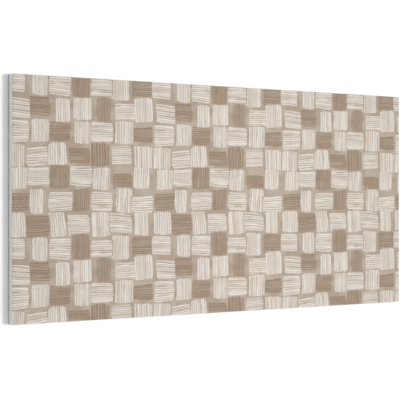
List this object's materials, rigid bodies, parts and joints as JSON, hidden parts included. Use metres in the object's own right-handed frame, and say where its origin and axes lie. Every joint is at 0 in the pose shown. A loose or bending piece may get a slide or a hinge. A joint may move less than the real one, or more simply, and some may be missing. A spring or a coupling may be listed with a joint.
{
  "type": "acoustic felt wall panel",
  "caption": "Flat rectangular board of pressed polyester felt with a hatched basket-weave print on its face and soft cut edges, glued to a wall to absorb sound.",
  "frame": {"origin": "centre of the bare back face, which lies on the floor or against the wall", "axes": "+X along the board's length, +Y along its width, +Z out of the printed face"},
  "size_m": [1.2, 0.6, 0.024],
  "materials": {
    "felt": "matt pressed felt, printed in cream and brown hatching on its face, off-white on its sides and back"
  },
  "bodies": {
    "root": {"felt_panel": "felt"}
  },
  "joints": []
}
